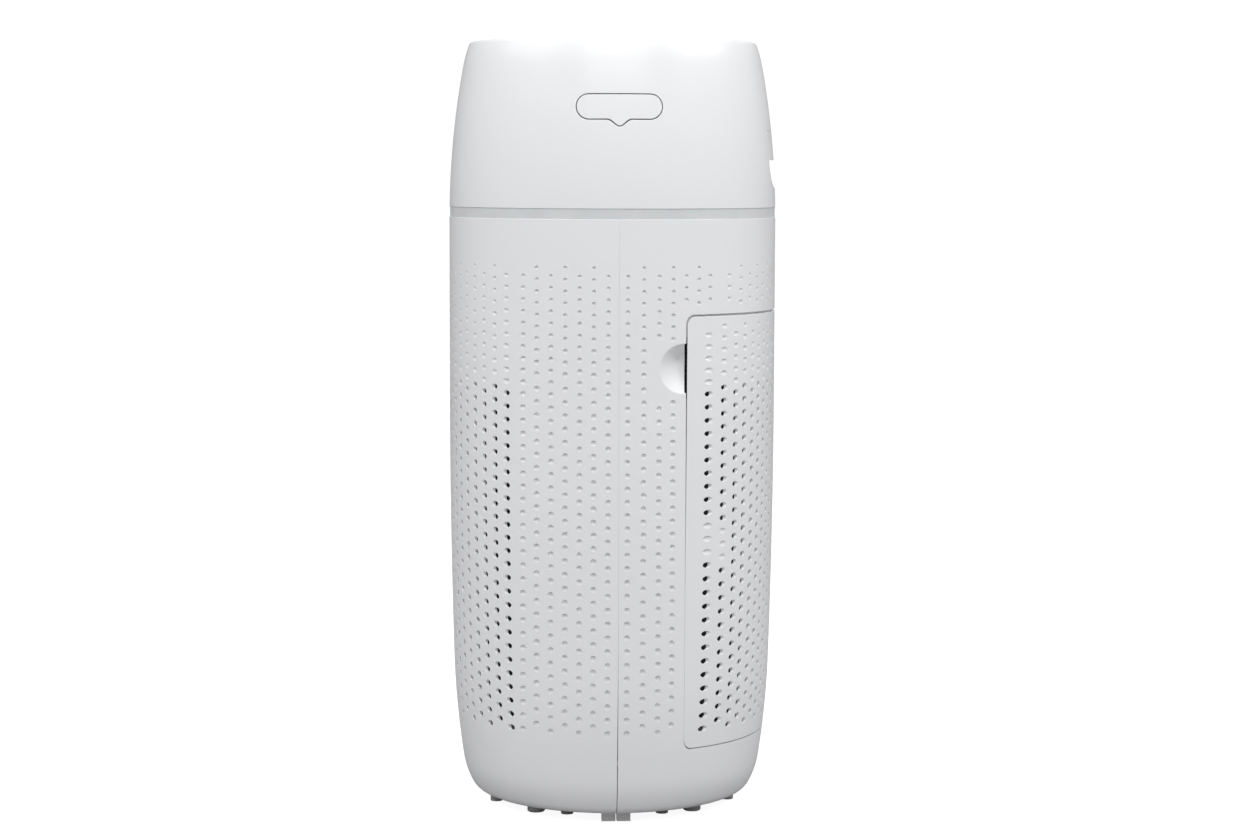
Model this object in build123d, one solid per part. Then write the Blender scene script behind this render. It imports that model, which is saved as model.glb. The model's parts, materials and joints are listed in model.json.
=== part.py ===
from build123d import *
import math
import os

# Tower air purifier: a round vented body with a rear filter door, under a tapered outlet head.
# Frame: millimetres, +Z up, origin on the floor at the centre of the base.
# The front faces -Y, the filter door and the carrying handle face +Y, the scent tray faces +X.

os.makedirs("parts", exist_ok=True)

# ---------------------------------------------------------------- driving dimensions
BODY_RADIUS = 120.8          # widest outer radius of shells and head
WALL = 2.6                   # moulded wall of shells, door and head
CLEAR = 0.3                  # gap between neighbouring pieces that may move or be taken off

# The body narrows below TAPER_START along tangent arcs (radius, degrees) that add up to 90.
TAPER_START = 298.0
BELLY_ARCS = [(6290.0, 1.74), (609.0, 7.11), (57.0, 20.15), (12.0, 61.0)]
SHELL_TOP = 434.8            # top edge of the two shells, under the light ring
LIP_INNER = 66.0             # inner radius of the shells' floor lip
FLANGE_INNER = 106.0         # inner radius of the shells' top flange

# The head narrows above HEAD_TAPER along tangent arcs that add up to 90.
HEAD_LOW = 442.2             # bottom edge of the head, above the light ring
HEAD_TAPER = 432.3
HEAD_ARCS = [(619.0, 10.5), (100.0, 9.1), (3.0, 70.4)]
MOUTH_RADIUS = 97.0          # open top of the head

# Vents: one through slot for each column and zone; columns in degrees from the side seam.
FRONT_COLUMNS = [-90.0 + 5.44 * step for step in range(-9, 10)]
DOOR_HALF = [32.5, 39.3, 45.1, 50.0, 54.9] + [59.3 + 4.386 * step for step in range(8)]
DOOR_COLUMNS = DOOR_HALF + [180.0 - angle for angle in DOOR_HALF[:-1]]
VENT_ZONES = [(68.0, 179.0), (188.0, 312.0)]
VENT_WIDTH = 2.6
CATCH_LOW, CATCH_HIGH = 194.0, 230.0     # the door's outer columns stay closed here

# Rear door: edges in degrees from the side seam, and heights.
DOOR_START = 24.0
DOOR_LOW, DOOR_HIGH = 54.5, 366.5
DOOR_GAP = 0.9
DOOR_TOP_GAP = 1.4           # the corners rise a little as the door tilts
DOOR_CORNER = 9.0
JAMB_DEPTH = 3.5             # the jamb lip starts this deep behind the outer skin
JAMB_WALL = 2.0
JAMB_REACH = 6.0             # how far the lip reaches behind the door
JAMB_BAND = 5.0              # how far the lip runs behind the shell

# Finger scoops at the door's side edges.
SCOOP_RADIUS = 17.6
SCOOP_ANGLE = 22.1
SCOOP_HEIGHT = 329.5
SCOOP_DEPTH = 8.0            # at the door's edge

# Carrying handle.
HANDLE_HALF = 41.0
HANDLE_LOW, HANDLE_SPLIT, HANDLE_HIGH = 454.6, 477.0, 498.0
HANDLE_BACK = 88.0           # y of the recess's inner wall

# Cord entry, sunk into the rear shell below the door.
GLAND_Z = 33.0
GLAND_FACE = 103.5           # y of the recess's floor

# Scent tray.
TRAY_HALF = 30.0
TRAY_LOW, TRAY_HIGH = 505.0, 522.0
TRAY_INNER = 80.0

# Inside levels, from the floor up.
BASE_TOP = 14.4
DECK_Z = 47.0                # top of the base deck
FILTER_LOW, FILTER_HIGH = 60.0, 352.0
FILTER_RADIUS = 97.0
FAN_DECK = 357.0
FAN_TOP = SHELL_TOP
GRILLE_LOW, GRILLE_HIGH = 549.5, 555.5
HUB_RADIUS = 49.4            # cup in the middle of the outlet grille
PANEL_RADIUS = 46.0
HARNESS_X = 101.5            # the wiring runs up beside the filter here
SHAFT_RADIUS = 4.0


# ---------------------------------------------------------------- helpers
def save(shape, name):
    """Writes one node."""
    shape.label = name
    export_step(shape, f"parts/{name}.step")


def polar(radius, degrees):
    """The point at a radius and an angle from +X."""
    angle = math.radians(degrees)
    return radius * math.cos(angle), radius * math.sin(angle)


def disc(radius, low, high, x=0.0, y=0.0):
    """An upright cylinder between two heights."""
    return Pos(x, y, (low + high) / 2) * Cylinder(radius, high - low)


def tube(outer, inner, low, high, x=0.0, y=0.0):
    """An upright ring between two heights."""
    return disc(outer, low, high, x, y) - disc(inner, low - 1, high + 1, x, y)


def block(x0, x1, y0, y1, z0, z1):
    """A box from its limits."""
    return Pos((x0 + x1) / 2, (y0 + y1) / 2, (z0 + z1) / 2) * Box(x1 - x0, y1 - y0, z1 - z0)


def join(pieces):
    """One shape from a list of touching or separate solids."""
    return pieces[0].fuse(*pieces[1:])


def group(pieces):
    """Separate solids in one node."""
    return Compound(children=[piece for shape in pieces for piece in shape.solids()])


def ring_of(count, radius, start, make):
    """Copies of make(x, y, angle) evenly spaced around Z."""
    pieces = []
    for index in range(count):
        angle = start + 360.0 * index / count
        x, y = polar(radius, angle)
        pieces.append(make(x, y, angle))
    return pieces


def arc_outline(start, heading, arcs):
    """Tangent arcs from a point; arcs are (radius, degrees, turning sign)."""
    edges = []
    point, tangent = start, heading
    for radius, degrees, sign in arcs:
        edge = JernArc(point, tangent, radius, sign * degrees)
        edges.append(edge)
        point, tangent = edge @ 1, edge % 1
    return edges


def revolved(edges, closing):
    """A solid of revolution from outline edges closed by straight runs."""
    outline = edges + Polyline(*closing).edges()
    return revolve(Plane.XZ * make_face(Wire(outline)), Axis.Z)


def body_solid(depth):
    """The lower body's volume at a depth under its skin, down to the bottom of its curve."""
    radius = BODY_RADIUS - depth
    arcs = [(arc - depth, degrees, -1) for arc, degrees in BELLY_ARCS]
    side = Line((radius, SHELL_TOP + 10), (radius, TAPER_START))
    edges = [side] + arc_outline(side @ 1, side % 1, arcs)
    low = edges[-1] @ 1
    closing = [(low.X, low.Y), (0, low.Y), (0, SHELL_TOP + 10), (radius, SHELL_TOP + 10)]
    return revolved(edges, closing)


def head_solid(depth):
    """The head's volume at a depth under its skin, up to the top of its curve."""
    radius = BODY_RADIUS - depth
    arcs = [(arc - depth, degrees, 1) for arc, degrees in HEAD_ARCS if arc > depth]
    edges = arc_outline((radius, HEAD_TAPER), (0, 1), arcs)
    high = edges[-1] @ 1
    closing = [(high.X, high.Y), (0, high.Y), (0, HEAD_TAPER), (radius, HEAD_TAPER)]
    return revolved(edges, closing) & disc(200, HEAD_LOW, 700)


def sector(inner, outer, low, high, start, end, corner=0.0):
    """A ring sector about Z, with its four radial edges rounded."""
    profile = Pos((inner + outer) / 2, (low + high) / 2) * Rectangle(outer - inner, high - low)
    piece = Rot(0, 0, start) * revolve(Plane.XZ * profile, Axis.Z, end - start)
    if corner:
        span = outer - inner
        edges = [e for e in piece.edges().filter_by(GeomType.LINE) if abs(e.length - span) < 0.01]
        piece = fillet([e for e in edges if abs((e % 0.5).Z) < 0.01], corner)
    return piece


def door_window(grow):
    """The door opening as a ring sector, grown or shrunk on every side."""
    turn = math.degrees(grow / BODY_RADIUS)
    start, end = DOOR_START - turn, 180.0 - DOOR_START + turn
    return sector(80, 140, DOOR_LOW - grow, DOOR_HIGH + grow, start, end, DOOR_CORNER + grow)


def slot(angle, low, high):
    """A radial cutter for one vertical vent slot with rounded ends."""
    shape = SlotOverall(high - low, VENT_WIDTH, rotation=90)
    cutter = extrude(Plane.YZ * shape, 50)
    return Rot(0, 0, angle) * Pos(90, 0, (low + high) / 2) * cutter


def screw(x, y, head_z, length, up=True):
    """A cross-head screw, with its head below (up) or above its shank."""
    sign = 1 if up else -1
    head = Pos(x, y, head_z - sign * 0.9) * Cylinder(2.9, 1.8)
    shank = Pos(x, y, head_z + sign * length / 2) * Cylinder(1.25, length)
    recess = Pos(x, y, head_z - sign * 1.5) * (Box(2.6, 0.6, 0.8) + Box(0.6, 2.6, 0.8))
    return head + shank - recess


def lead(points, radius):
    """A wire of straight runs joined by tangent arcs."""
    radii = []
    for before, here, after in zip(points, points[1:], points[2:]):
        run_in = Vector(*here) - Vector(*before)
        run_out = Vector(*after) - Vector(*here)
        turn = math.radians(run_in.get_angle(run_out))
        radii.append(0.45 * min(run_in.length, run_out.length) / math.tan(turn / 2))
    path = FilletPolyline(*points, radius=radii)
    start = Plane(origin=path @ 0, z_dir=path % 0)
    return sweep(start * Circle(radius), path=path)


# ---------------------------------------------------------------- lower body
skin = body_solid(0.0)
skin_low = skin.bounding_box().min.Z
skin_wall = body_solid(WALL)
trim = disc(200, 0, SHELL_TOP)
jar = (skin - skin_wall - disc(LIP_INNER, 0, 30)) & trim
flange = tube(BODY_RADIUS - WALL + 0.5, FLANGE_INNER, SHELL_TOP - 3.0, SHELL_TOP)
jar = jar + flange
door_blank = (skin - skin_wall) & disc(200, DOOR_LOW, DOOR_HIGH)


def ledge(angle):
    """A block on the inside of a shell that carries the fan deck."""
    piece = block(107.0, 119.0, -6.0, 6.0, FAN_DECK - 12.0, FAN_DECK)
    return Rot(0, 0, angle) * piece - disc(1.3, FAN_DECK - 9.0, FAN_DECK + 1, *polar(111.0, angle))


def halves(shape, front):
    """The front or rear half of a shape, on either side of the seams at +X and -X."""
    low, high = (-200.0, -CLEAR / 2) if front else (CLEAR / 2, 200.0)
    return shape & block(-200, 200, low, high, -1, 700)


def screw_holes(low, high):
    """Clearance holes for the four base screws."""
    return ring_of(4, 70.0, 45.0, lambda x, y, angle: disc(1.6, low, high, x, y))


head_posts = ring_of(4, 111.0, 45.0, lambda x, y, angle: disc(1.6, SHELL_TOP - 4, SHELL_TOP + 1, x, y))
jar = jar.cut(*screw_holes(0, 20), *head_posts)

front = halves(jar, True)
front = front + group([ledge(-60.0) & skin, ledge(-120.0) & skin])
slots = [slot(angle, low, high) for angle in FRONT_COLUMNS for low, high in VENT_ZONES]
front_shell = front.cut(*slots)
save(front_shell, "front_shell")

jamb = (skin_wall - body_solid(JAMB_DEPTH + JAMB_WALL)) & door_window(JAMB_BAND)
jamb = jamb - ((skin_wall - body_solid(JAMB_DEPTH)) & door_window(0.0)) - door_window(-JAMB_REACH)


def scoop(side, grow):
    """The dished volume of a finger scoop; grow thickens it into the wall behind it."""
    slope = math.degrees(math.atan2(SCOOP_DEPTH, SCOOP_RADIUS + 4.0))
    round_part = Rot(0, 90, 0) * Cylinder(SCOOP_RADIUS + grow, 60)
    outside = Rot(0, 0, slope) * Pos(60 - grow, 0, 0) * Box(120, 200, 80)
    outside = Pos(-0.4, -SCOOP_RADIUS, 0) * outside
    wedge = Pos(BODY_RADIUS, 0, 0) * (round_part & outside)
    wedge = Pos(0, 0, SCOOP_HEIGHT) * (Rot(0, 0, SCOOP_ANGLE) * wedge)
    return wedge if side > 0 else mirror(wedge, Plane.YZ)


rear = (halves(jar, False) - door_window(0.0)) + jamb
beside = sector(80, 140, DOOR_LOW, DOOR_HIGH, DOOR_START - 20, DOOR_START + 0.4) & body_solid(0.5)
behind = sector(80, 140, DOOR_LOW, DOOR_HIGH, DOOR_START - 20, DOOR_START + 5.0) & body_solid(JAMB_DEPTH)
pocket_space = beside + behind
for side in (1, -1):
    space = pocket_space if side > 0 else mirror(pocket_space, Plane.YZ)
    rear = rear + (scoop(side, 2.0) & space) - scoop(side, 0.0)
rear = rear + group([ledge(12.0) & skin, ledge(168.0) & skin])
gland_seat = Pos(0, 105.0, GLAND_Z) * Rot(90, 0, 0) * Cylinder(10.0, 14.0) & skin
gland_hole = Pos(0, 105.0, GLAND_Z) * Rot(90, 0, 0) * Cylinder(5.0, 30.0)
gland_recess = Pos(0, GLAND_FACE + 10.0, GLAND_Z) * Rot(90, 0, 0) * Cylinder(8.0, 20.0)
rear_shell = rear + gland_seat - gland_hole - gland_recess
save(rear_shell, "rear_shell")

# ---------------------------------------------------------------- feet and base
block_feet = []
for side in (1, -1):
    for rear_side in (1, -1):
        y0, y1 = sorted((rear_side * 0.4, rear_side * 10.4))
        x0, x1 = sorted((side * 84.0, side * 91.5))
        block_feet.append(block(x0, x1, y0, y1, 0, skin_low))
save(group(block_feet), "block_feet")

rubber_feet = ring_of(4, 81.0, 45.0, lambda x, y, angle: disc(6.5, 0, skin_low, x, y))
rubber_feet = [chamfer(foot.edges().sort_by(Axis.Z)[0], 0.8) for foot in rubber_feet]
save(group(rubber_feet), "rubber_feet")

small_feet = []
for radius, angle in ((74.0, 28.0), (89.0, 76.0)):
    for turn in (angle, -angle, 180.0 - angle, 180.0 + angle):
        small_feet.append(disc(4.5, 0, skin_low, *polar(radius, turn)))
save(group(small_feet), "small_feet")

plate = disc(LIP_INNER - CLEAR, skin_low, skin_low + WALL) + disc(91.0, skin_low + WALL, BASE_TOP)
plate = plate.fuse(*ring_of(4, 84.0, 45.0, lambda x, y, angle: disc(4.0, BASE_TOP, DECK_Z - 3, x, y)))
board_posts = [disc(3.0, BASE_TOP, 20.0, x, y) for x in (-40, 40) for y in (-25, 25)]
plate = plate.fuse(*board_posts)
base_plate = plate.cut(*screw_holes(0, BASE_TOP - 1))
save(base_plate, "base_plate")

heads = ring_of(4, 70.0, 45.0, lambda x, y, angle: screw(x, y, skin_low, 4.0))
save(group(heads), "base_screws")

board = block(-46, 46, -31, 31, 20.0, 21.6)
board = board + block(-40, -12, -24, 2, 21.6, 40) + block(6, 22, -26, -8, 21.6, 33)
board = board + disc(8.0, 21.6, 42, -26, 18) + disc(6.0, 21.6, 38, -6, 20)
board = board + block(30, 44, -12, 12, 21.6, 30) + block(8, 26, 16, 29, 21.6, 31)
save(board, "power_board")

gland = Cylinder(5.0, 18.0) + Pos(0, 0, -7.5) * Cylinder(7.5, 3.0) - Cylinder(3.4, 60)
gland = Pos(0, GLAND_FACE - 6.0, GLAND_Z) * Rot(90, 0, 0) * gland
save(gland, "cord_gland")
route = [(0, 95, GLAND_Z), (0, 80, GLAND_Z), (6, 64, 37), (14, 46, 39), (17, 27, 39.5), (17, 22.5, 31.8)]
save(lead(route, 1.6), "mains_lead")

route = [(40, 0, 30.3), (41, 0, 36), (58, 0, 39.5), (82, 0, 37), (99.5, 0, 39), (HARNESS_X, 0, 52)]
for step in range(7):
    sway = 0.8 if step % 2 else -0.8
    route.append((HARNESS_X, sway, 104.0 + 54.0 * step))
route.append((HARNESS_X, 0, SHELL_TOP - 0.3))
save(lead(route, 1.5), "board_harness")

deck = disc(107.0, DECK_Z - 3, DECK_Z) + disc(92.0, DECK_Z, FILTER_LOW) - disc(89.0, DECK_Z - 4, FILTER_LOW - 3)
deck = deck + tube(92.0, 89.0, DECK_Z - 3, FILTER_LOW - 3)
deck = deck.fuse(*ring_of(4, 84.0, 45.0, lambda x, y, angle: disc(4.0, DECK_Z - 3, FILTER_LOW - 3, x, y)))
deck = deck - disc(3.2, 0, 60, HARNESS_X, 0)
save(deck, "base_deck")
# ---------------------------------------------------------------- filter door
door_cut = math.degrees(DOOR_GAP / BODY_RADIUS)
door_edges = (DOOR_START + door_cut, 180.0 - DOOR_START - door_cut)
door_outline = sector(80, 140, DOOR_LOW + DOOR_GAP, DOOR_HIGH - DOOR_TOP_GAP, *door_edges, DOOR_CORNER)
door = door_blank & door_outline
tabs = []
for x in (-20.0, 20.0):
    arm = block(x - 6, x + 6, 101.5, 114.5, 62.0, 64.5) + block(x - 6, x + 6, 101.5, 104.0, 50.0, 64.5)
    tabs.append(arm & skin_wall.fuse(door_blank))
catches = []
for angle in (31.0, 149.0):
    post = block(107.0, 119.5, -2.5, 2.5, 203.0, 221.0)
    catches.append(Rot(0, 0, angle) * post & skin)
door = door.fuse(*tabs, *catches)
slots = []
for index, angle in enumerate(DOOR_COLUMNS):
    outer_column = min(angle, 180.0 - angle) < 40.0
    for low, high in VENT_ZONES:
        if outer_column and low < CATCH_LOW < high:
            slots.append(slot(angle, CATCH_HIGH + 8.0, high))
        else:
            slots.append(slot(angle, low, high))
filter_door = door.cut(*slots)
save(filter_door, "filter_door")

clips = []
for angle in (31.0, 149.0):
    side = 1 if angle < 90 else -1
    low, high = sorted((side * -11.0, side * -6.5))
    foot = block(104.6, 119.0, low, high, 205.0, 219.0)
    low, high = sorted((side * -11.0, side * 3.0))
    leaf = block(104.6, 106.6, low, high, 205.0, 219.0)
    clips.append(Rot(0, 0, angle) * (foot + leaf) & body_solid(JAMB_DEPTH + JAMB_WALL))
save(group(clips), "door_clips")

magnet = block(-5, 5, 114.0, 119.0, 345.0, 353.0) & skin_wall
save(magnet, "door_magnet")
save(block(-7, 7, 104.0, 111.5, 350.5, FAN_DECK), "door_sensor")

# ---------------------------------------------------------------- filter
save(tube(96.6, 95.0, FILTER_LOW + 6, FILTER_HIGH - 6), "prefilter_sleeve")


def pleats(outer, inner, count):
    """A closed zigzag between two radii."""
    radii = [outer if index % 2 == 0 else inner for index in range(2 * count)]
    return Polyline([polar(radius, 180.0 * index / count) for index, radius in enumerate(radii)], close=True)


fold = make_face(pleats(94.5, 69.0, 48)) - make_face(pleats(87.5, 62.0, 48))
save(Pos(0, 0, FILTER_LOW + 6) * extrude(fold, FILTER_HIGH - FILTER_LOW - 12), "filter_media")
save(tube(60.5, 48.0, FILTER_LOW + 6, FILTER_HIGH - 6), "carbon_sleeve")
save(disc(FILTER_RADIUS, FILTER_LOW, FILTER_LOW + 6), "filter_bottom_cap")
save(tube(FILTER_RADIUS, 48.0, FILTER_HIGH - 6, FILTER_HIGH), "filter_top_cap")
save(tube(68.0, 60.0, FILTER_HIGH, FAN_DECK), "filter_gasket")
tab = block(-9, 9, FILTER_RADIUS, FILTER_RADIUS + 1.2, FILTER_LOW, 130.0)
save(fillet(tab.edges().filter_by(Axis.Y), 3.0), "filter_pull_tab")

# ---------------------------------------------------------------- fan
ledge_angles = (12.0, 168.0, -60.0, -120.0)
fan_deck = disc(115.0, FAN_DECK, FAN_DECK + 3) + tube(54.0, 52.0, FAN_DECK, FAN_DECK + 11)
fan_deck = fan_deck - disc(52.0, 300, 400) - disc(3.2, 300, 400, HARNESS_X, 0)
fan_deck = fan_deck.cut(*[disc(1.6, 350, 370, *polar(111.0, angle)) for angle in ledge_angles])
save(fan_deck, "fan_deck")
deck_screws = [screw(*polar(111.0, angle), FAN_DECK + 3, 9.0, up=False) for angle in ledge_angles]
save(group(deck_screws), "deck_screws")

rings = [tube(52.0, 49.5, 357.6, 359.6)] + [tube(r + 0.8, r - 0.8, 357.6, 359.6) for r in (14, 26, 38)]
spokes = [Rot(0, 0, 60.0 * step) * block(6, 50.5, -0.9, 0.9, 357.6, 359.6) for step in range(6)]
save(join([disc(7.0, 357.6, 359.6)] + rings + spokes), "finger_guard")

case = tube(98.0, 95.8, FAN_DECK + 3, FAN_TOP) + tube(107.0, 95.8, FAN_DECK + 3, FAN_DECK + 5.4)
case = case + tube(FLANGE_INNER - CLEAR, 90.0, FAN_TOP - 3, FAN_TOP)
case = case - disc(3.2, 350, 440, HARNESS_X, 0)
duct_screw_holes = ring_of(4, 92.0, 45.0, lambda x, y, angle: disc(1.6, FAN_TOP - 4, FAN_TOP + 9, x, y))
save(case.cut(*duct_screw_holes), "fan_housing")


def curved_vane(thickness, inner, outer, centre, radius, low, high, count):
    """Vanes cut from circles whose centres stand on a ring about Z."""
    arc = Pos(centre, 0) * (Circle(radius + thickness / 2) - Circle(radius - thickness / 2))
    arc = arc & (Circle(outer) - Circle(inner)) & Pos(0, 150) * Rectangle(400, 300)
    vane = Pos(0, 0, low) * extrude(arc, high - low)
    return [Rot(0, 0, 360.0 * step / count) * vane for step in range(count)]


wheel = disc(11.0, 381.0, 404.0) + disc(75.0, 403.4, 406.0) + tube(75.0, 55.5, 381.0, 383.0)
wheel = wheel + tube(57.5, 55.5, 371.5, 382.0)
wheel = wheel.fuse(*curved_vane(1.8, 27.0, 74.5, 50.0, 36.0, 382.5, 404.0, 11))
wheel = wheel.fuse(*[Rot(0, 0, 60.0 * step) * block(9, 30, -1.2, 1.2, 398, 404) for step in range(6)])
save(wheel - disc(SHAFT_RADIUS, 370, 410), "impeller")
save(disc(SHAFT_RADIUS, 374.0, 434.0), "motor_shaft")
nut = Pos(0, 0, 376.5) * extrude(RegularPolygon(7.0, 6), 4.5)
save(nut - disc(SHAFT_RADIUS, 370, 410), "impeller_nut")

motor = disc(30.0, 408.8, FAN_TOP) - disc(8.0, 400, 440)
motor = fillet(motor.edges().filter_by(GeomType.CIRCLE).sort_by(Axis.Z)[:2].sort_by(lambda e: e.radius)[-1], 2.5)
motor = motor.cut(*ring_of(3, 20.0, 0.0, lambda x, y, angle: disc(1.3, FAN_TOP - 6, FAN_TOP + 1, x, y)))
save(motor, "fan_motor")
save(tube(8.0, SHAFT_RADIUS + 0.05, 411.0, 416.0), "motor_bearing_low")
save(tube(8.0, SHAFT_RADIUS + 0.05, 427.0, 432.0), "motor_bearing_top")

mount = tube(95.0, 83.0, FAN_TOP, FAN_TOP + 4) + disc(36.0, FAN_TOP, FAN_TOP + 3.2)
mount = mount + tube(36.0, 33.5, FAN_TOP, FAN_TOP + 12)
mount = mount.fuse(*curved_vane(2.0, 35.0, 83.2, 95.0, 62.0, FAN_TOP, FAN_TOP + 12, 9))
mount = mount - disc(6.5, 430, 460)
mount = mount.cut(*ring_of(3, 20.0, 0.0, lambda x, y, angle: disc(1.6, 430, 445, x, y)))
save(mount.cut(*duct_screw_holes), "motor_mount")
motor_screws = ring_of(3, 20.0, 0.0, lambda x, y, angle: screw(x, y, FAN_TOP + 3.2, 7.0, up=False))
save(group(motor_screws), "motor_screws")

DUCT_FOOT = FAN_TOP + 4
duct_line = [(84.0, DUCT_FOOT), (84.0, 444.0), (72.0, 496.0), (72.0, 524.0), (91.0, 544.5), (91.0, 547.0)]
inside = duct_line + [(0, 547.0), (0, DUCT_FOOT)]
outside = [(radius + 2.0, height) for radius, height in duct_line] + [(0, 547.0), (0, DUCT_FOOT)]
duct = revolve(Plane.XZ * make_face(Polyline(outside, close=True)), Axis.Z)
duct = duct - revolve(Plane.XZ * make_face(Polyline(inside, close=True)), Axis.Z)
duct = duct & disc(200, DUCT_FOOT, GRILLE_LOW - 3)
duct = duct + tube(95.0, 84.0, DUCT_FOOT, DUCT_FOOT + 2.4) + tube(95.0, 91.0, GRILLE_LOW - 5, GRILLE_LOW - 3)
save(duct.cut(*duct_screw_holes), "outlet_duct")
duct_screws = ring_of(4, 92.0, 45.0, lambda x, y, angle: screw(x, y, DUCT_FOOT + 2.4, 8.5, up=False))
save(group(duct_screws), "duct_screws")

CUP_FLOOR = 536.0
save(tube(8.0, 6.5, FAN_TOP + 3.2, CUP_FLOOR), "cable_conduit")
route = [(1.5, 0, FAN_TOP + 2), (-1.5, 1, 468), (1.5, -1, 503), (0, 0, 540.8)]
save(lead(route, 1.5), "panel_harness")

# ---------------------------------------------------------------- light ring
save(tube(BODY_RADIUS - 0.5, 114.2, SHELL_TOP, HEAD_LOW), "light_ring")
strip = tube(108.0, 96.0, SHELL_TOP, SHELL_TOP + 1.6)
leds = [Rot(0, 0, 15.0 * step) * block(104, 107.4, -2, 2, SHELL_TOP + 1, SHELL_TOP + 3.4) for step in range(24)]
save(strip.fuse(*leds), "led_board")

# ---------------------------------------------------------------- head
head_skin = head_solid(0.0)
head_wall = head_solid(WALL)
head = head_skin - head_wall - disc(MOUTH_RADIUS, 530, 700)
head = head + (tube(MOUTH_RADIUS + 3, MOUTH_RADIUS, GRILLE_LOW - 3, 570) & head_solid(1.0))
head = head + tube(MOUTH_RADIUS + 3, 93.0, GRILLE_LOW - 3, GRILLE_LOW)
head = head + tube(BODY_RADIUS - WALL + 0.5, 104.0, HEAD_LOW, HEAD_LOW + 2.6)
head = head.fuse(*ring_of(4, 111.0, 45.0, lambda x, y, angle: disc(2.8, SHELL_TOP, HEAD_LOW + 2, x, y)))
head = head.cut(*ring_of(4, 111.0, 45.0, lambda x, y, angle: disc(1.3, SHELL_TOP - 1, HEAD_LOW + 1.5, x, y)))
head_screws = ring_of(4, 111.0, 45.0, lambda x, y, angle: screw(x, y, SHELL_TOP - 3, 9.0))
save(group(head_screws), "head_screws")


def handle_outline(grow):
    """The handle's outline seen from behind: a half-round recess under a flush grip."""
    recess = Pos(0, (HANDLE_LOW + HANDLE_SPLIT) / 2) * Rectangle(2 * HANDLE_HALF, HANDLE_SPLIT - HANDLE_LOW)
    recess = fillet(recess.vertices().group_by(Axis.Y)[0], 20.0)
    grip = Pos(0, (HANDLE_SPLIT + HANDLE_HIGH) / 2) * Rectangle(2 * HANDLE_HALF, HANDLE_HIGH - HANDLE_SPLIT)
    grip = fillet(grip.vertices().group_by(Axis.Y)[-1], 3.0)
    return offset(recess + grip, grow) if grow else recess + grip


def from_behind(sketch, low, high):
    """Extrudes an X-Z outline from one y to another."""
    return Pos(0, high, 0) * extrude(Plane.XZ * sketch, high - low)


def tray_outline(grow):
    """The tray's lid seen from +X: a pill with a small finger bump under it."""
    pill = Pos(0, (TRAY_LOW + TRAY_HIGH) / 2) * SlotOverall(2 * TRAY_HALF, TRAY_HIGH - TRAY_LOW)
    bump = Pos(0, TRAY_LOW) * RectangleRounded(12.5, 9.0, 4.0)
    return offset(pill + bump, grow) if grow else pill + bump


head = head - from_behind(handle_outline(0.0), 90, 140)
head = head - Pos(90, 0, 0) * extrude(Plane.YZ * tray_outline(0.5), 50)
save(head, "upper_housing")

handle = from_behind(handle_outline(-0.15), HANDLE_BACK - 2, 140) & head_skin
rim = (head_wall - head_solid(WALL + 2)) & from_behind(handle_outline(4.0), 90, 140)
cavity = from_behind(handle_outline(-2.0), HANDLE_BACK, 140)
open_part = cavity & block(-60, 60, 0, 200, 400, HANDLE_SPLIT)
closed_part = cavity & head_solid(3.6)
save(handle + rim - open_part - closed_part, "handle_insert")

# ---------------------------------------------------------------- scent tray
lid = (Pos(90, 0, 0) * extrude(Plane.YZ * tray_outline(0.0), 50)) & (head_skin - head_solid(3.2))
cup = block(TRAY_INNER + 2, 118, -24, 24, 507.0, 520.0) & head_solid(3.0)
cup = cup - block(TRAY_INNER + 4, 107, -22, 22, 508.6, 530.0)
save(lid + cup, "oil_tray")
save(block(TRAY_INNER + 6, 105, -20, 20, 508.6, 514.0), "oil_pad")
sleeve = block(TRAY_INNER - 2, 118, -26.5, 26.5, 504.6, 522.4) & head_solid(3.6)
save(sleeve - block(TRAY_INNER, 120, -24.6, 24.6, 506.4, 520.6), "tray_sleeve")

# ---------------------------------------------------------------- outlet and controls
grille = tube(MOUTH_RADIUS - 0.4, 92.6, GRILLE_LOW, GRILLE_HIGH)
grille = grille + tube(HUB_RADIUS, PANEL_RADIUS + 0.1, CUP_FLOOR, GRILLE_HIGH)
grille = grille + (disc(HUB_RADIUS, CUP_FLOOR, CUP_FLOOR + 2) - disc(6.5, 530, 540))
grille = grille + tube(HUB_RADIUS - 1, 43.0, GRILLE_LOW, GRILLE_HIGH - 3)
grille = grille.fuse(*ring_of(3, 34.0, 90.0, lambda x, y, angle: disc(2.5, CUP_FLOOR + 1, 541.0, x, y)))
grille = grille.fuse(*[tube(r + 0.9, r - 0.9, GRILLE_LOW + 1, GRILLE_HIGH - 1) for r in (64.0, 79.0)])
grille = grille.fuse(*curved_vane(1.8, 48.5, 93.5, 105.0, 62.0, GRILLE_LOW, GRILLE_HIGH, 40))
save(grille, "outlet_grille")

BUTTONS = {"power": (0.0, 0.0, 8.0)}
for name, angle in (("speed", -150.0), ("timer", -110.0), ("light", -70.0), ("lock", -30.0)):
    BUTTONS[name] = (*polar(30.0, angle), 5.5)
panel = disc(PANEL_RADIUS, GRILLE_HIGH - 3, GRILLE_HIGH)
window = sector(20.0, 38.0, GRILLE_HIGH - 1.2, GRILLE_HIGH, 58.0, 122.0)
panel = panel - window - block(-10, 10, 23, 32, 550, 556)
for name, (x, y, radius) in BUTTONS.items():
    panel = panel - disc(radius + 0.4, 550, 560, x, y)
    cap = disc(radius, GRILLE_HIGH - 3.3, GRILLE_HIGH + 0.8, x, y)
    cap = fillet(cap.edges().group_by(Axis.Z)[-1], 0.5)
    cap = cap + disc(radius + 1.6, GRILLE_HIGH - 4.6, GRILLE_HIGH - 3.3, x, y)
    save(cap + disc(2.0, 546.7, GRILLE_HIGH - 4, x, y), f"{name}_button")
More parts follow.
